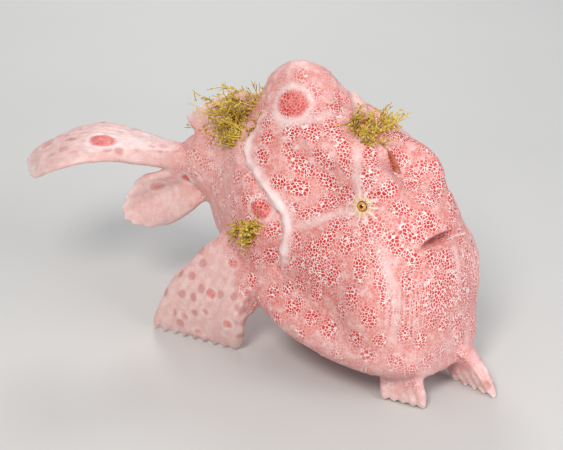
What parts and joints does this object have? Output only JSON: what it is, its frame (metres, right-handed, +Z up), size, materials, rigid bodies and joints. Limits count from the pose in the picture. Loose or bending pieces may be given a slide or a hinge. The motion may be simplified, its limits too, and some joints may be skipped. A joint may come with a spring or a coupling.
{
  "type": "frogfish",
  "caption": "Still, life-size model of a young pink frogfish standing on its hand-like fins, tail bent to its right, with spotted skin and golden skin tufts.",
  "frame": {"origin": "on the floor, under the middle of the whole fish", "axes": "+X along the head and trunk towards the snout, +Z up, +Y to the fish's left"},
  "size_m": [0.0606, 0.036, 0.0358],
  "materials": {
    "body_skin": "pink skin with close red spots, softly wet",
    "fin_skin": "pale pink fin skin with ringed spots",
    "iris": "orange iris under a clear gloss",
    "filaments": "golden olive skin filaments"
  },
  "bodies": {
    "root": {"head": "body_skin", "lower_jaw": "body_skin", "torso": "body_skin", "tail_stalk": "body_skin", "third_dorsal_spine": "body_skin", "tail_fin": "fin_skin", "anal_fin": "fin_skin", "soft_dorsal_fin": "fin_skin", "right_hand": "fin_skin", "left_hand": "fin_skin", "right_foot": "fin_skin", "left_foot": "fin_skin", "second_dorsal_spine": "body_skin", "fishing_rod": "body_skin", "right_eye": "iris", "left_eye": "iris", "dorsal_tuft": "filaments", "spine_tuft": "filaments", "flank_tuft": "filaments"}
  },
  "joints": []
}
